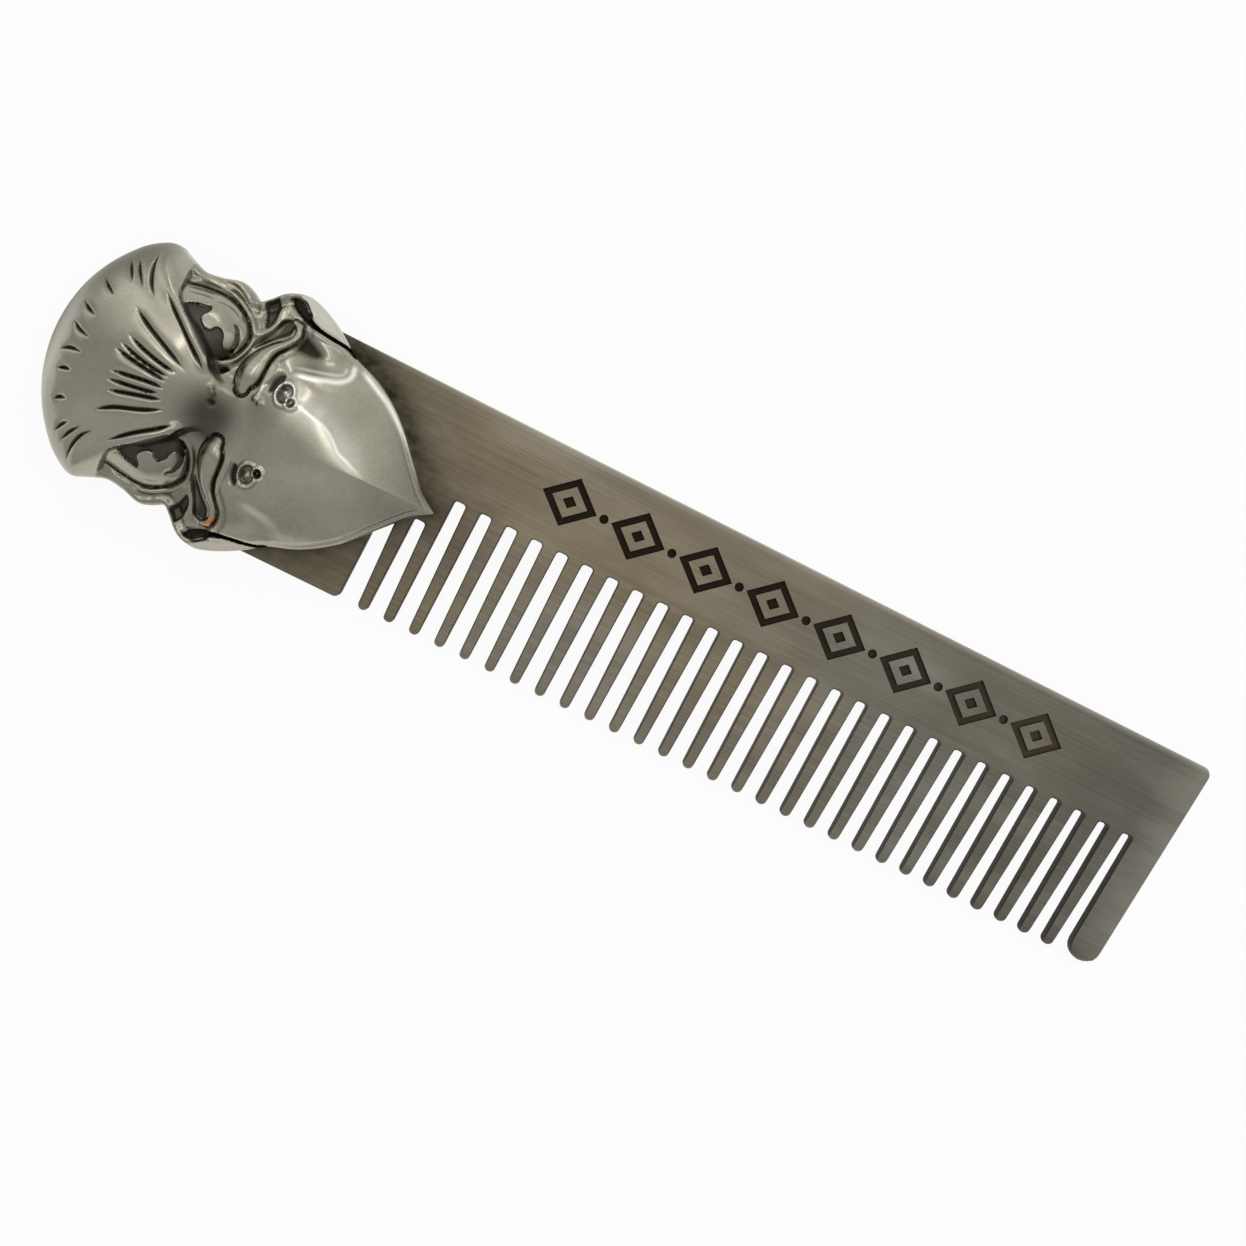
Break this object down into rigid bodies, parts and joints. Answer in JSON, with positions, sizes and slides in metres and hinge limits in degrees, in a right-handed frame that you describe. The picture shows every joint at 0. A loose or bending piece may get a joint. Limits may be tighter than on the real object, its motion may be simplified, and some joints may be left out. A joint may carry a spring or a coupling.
{
  "type": "beard comb",
  "caption": "Flat metal beard comb with fine teeth, a plain handle block and an eagle-head casting screwed over its handle end.",
  "frame": {"origin": "middle of the comb's box at its back face, which lies on the table", "axes": "+X from the head's crown to the far end of the comb, +Y from the tooth tips to the spine, +Z out of the decorated face"},
  "size_m": [0.1314, 0.0288, 0.009],
  "materials": {
    "plate_steel": "fine lengthwise brushed grain, antiqued, dark in the engraving",
    "head_pewter": "antique pewter casting, brushed high spots and dark recesses",
    "screw_steel": "turned, satin"
  },
  "bodies": {
    "root": {"comb_plate": "plate_steel", "eagle_head": "head_pewter", "crown_screw": "screw_steel", "beak_screw": "screw_steel"}
  },
  "joints": []
}
